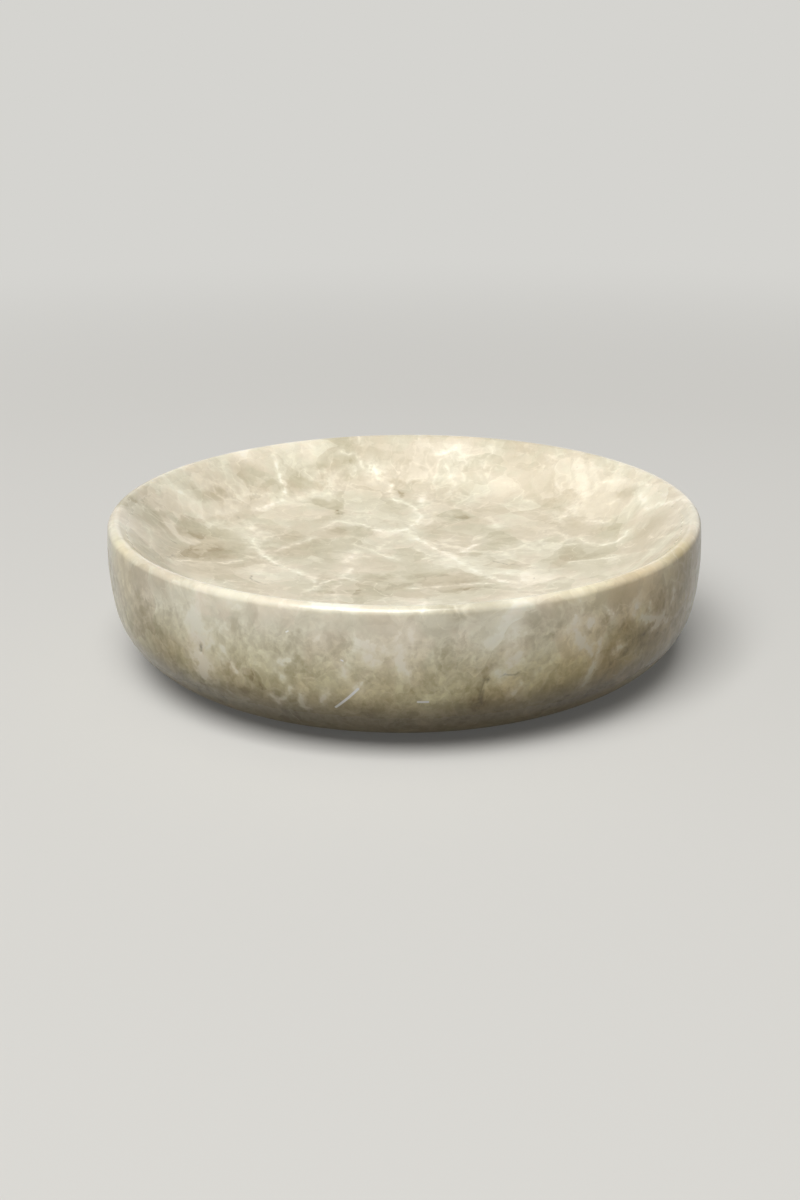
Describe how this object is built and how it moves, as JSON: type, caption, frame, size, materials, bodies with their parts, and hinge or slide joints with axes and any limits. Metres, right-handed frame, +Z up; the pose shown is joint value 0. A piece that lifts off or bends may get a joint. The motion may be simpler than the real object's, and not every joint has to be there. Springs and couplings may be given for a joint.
{
  "type": "soap dish",
  "caption": "Round polished stone soap dish with a shallow bowl, a rounded rim and a barrelled wall, standing on clear stick-on bumper feet.",
  "frame": {"origin": "centre of the dish on the surface that its feet stand on", "axes": "+Z up along the dish's turning axis, +Y away from the viewer, +X to the viewer's right"},
  "size_m": [0.12, 0.12, 0.0297],
  "materials": {
    "marble": "polished",
    "clear_rubber": "satin",
    "clear_adhesive": "gloss"
  },
  "bodies": {
    "root": {"stone_dish": "marble", "foot_front_left": "clear_rubber", "foot_front_right": "clear_rubber", "foot_back_left": "clear_rubber", "foot_back_right": "clear_rubber", "adhesive_front_left": "clear_adhesive", "adhesive_front_right": "clear_adhesive", "adhesive_back_left": "clear_adhesive", "adhesive_back_right": "clear_adhesive"}
  },
  "joints": []
}
